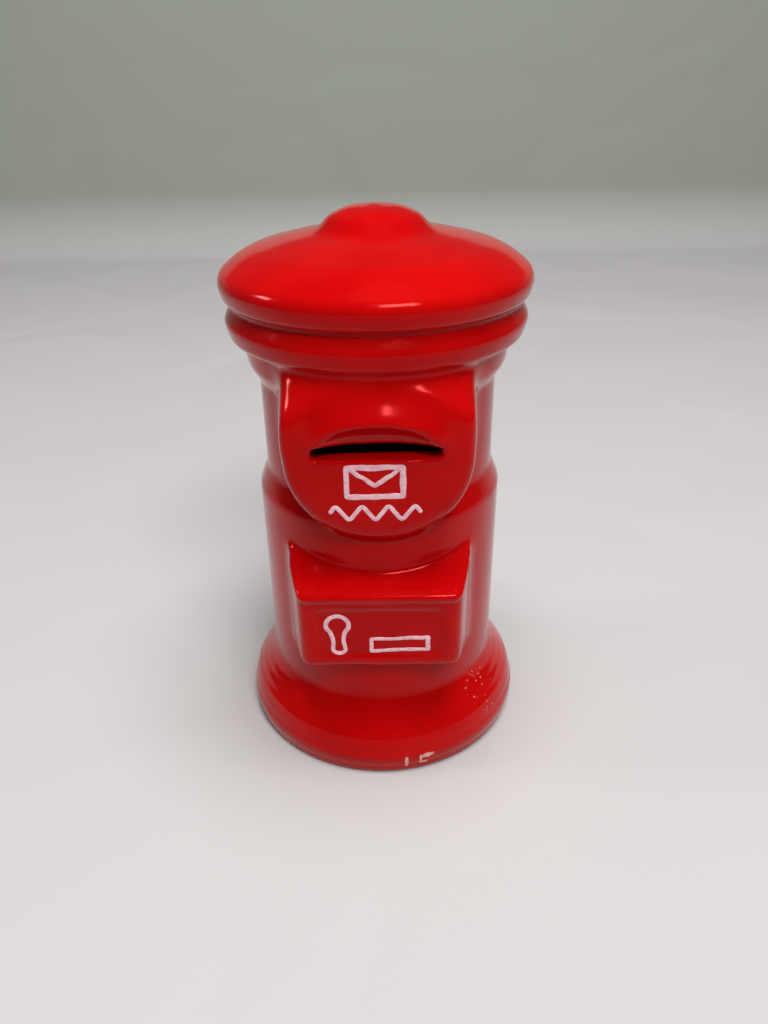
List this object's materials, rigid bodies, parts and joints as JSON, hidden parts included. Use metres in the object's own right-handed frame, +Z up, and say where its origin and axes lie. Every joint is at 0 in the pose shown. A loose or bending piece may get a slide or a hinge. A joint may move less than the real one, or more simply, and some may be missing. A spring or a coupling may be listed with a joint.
{
  "type": "ceramic money box",
  "caption": "Glazed ceramic money box shaped as a round pillar letter box, with a coin slot and a rubber bung in the base.",
  "frame": {"origin": "centre of the foot on the surface it rests on", "axes": "+Z up along the body's axis, the coin slot and the letter plate face -Y, +X to the right seen from the front"},
  "size_m": [0.0888, 0.0888, 0.1595],
  "materials": {
    "red_glaze": "gloss",
    "grey_rubber": "matte",
    "white_enamel": "satin"
  },
  "bodies": {
    "ceramic": {"ceramic_body": "red_glaze", "painted_envelope": "white_enamel", "painted_flourish": "white_enamel", "painted_keyhole": "white_enamel", "painted_name_plate": "white_enamel"},
    "bung": {"base_bung": "grey_rubber"}
  },
  "joints": [
    {"name": "bung_pull", "type": "slide", "parent": "ceramic", "child": "bung", "axis": [0, 0, -1], "range_m": [0, 0.012]}
  ]
}
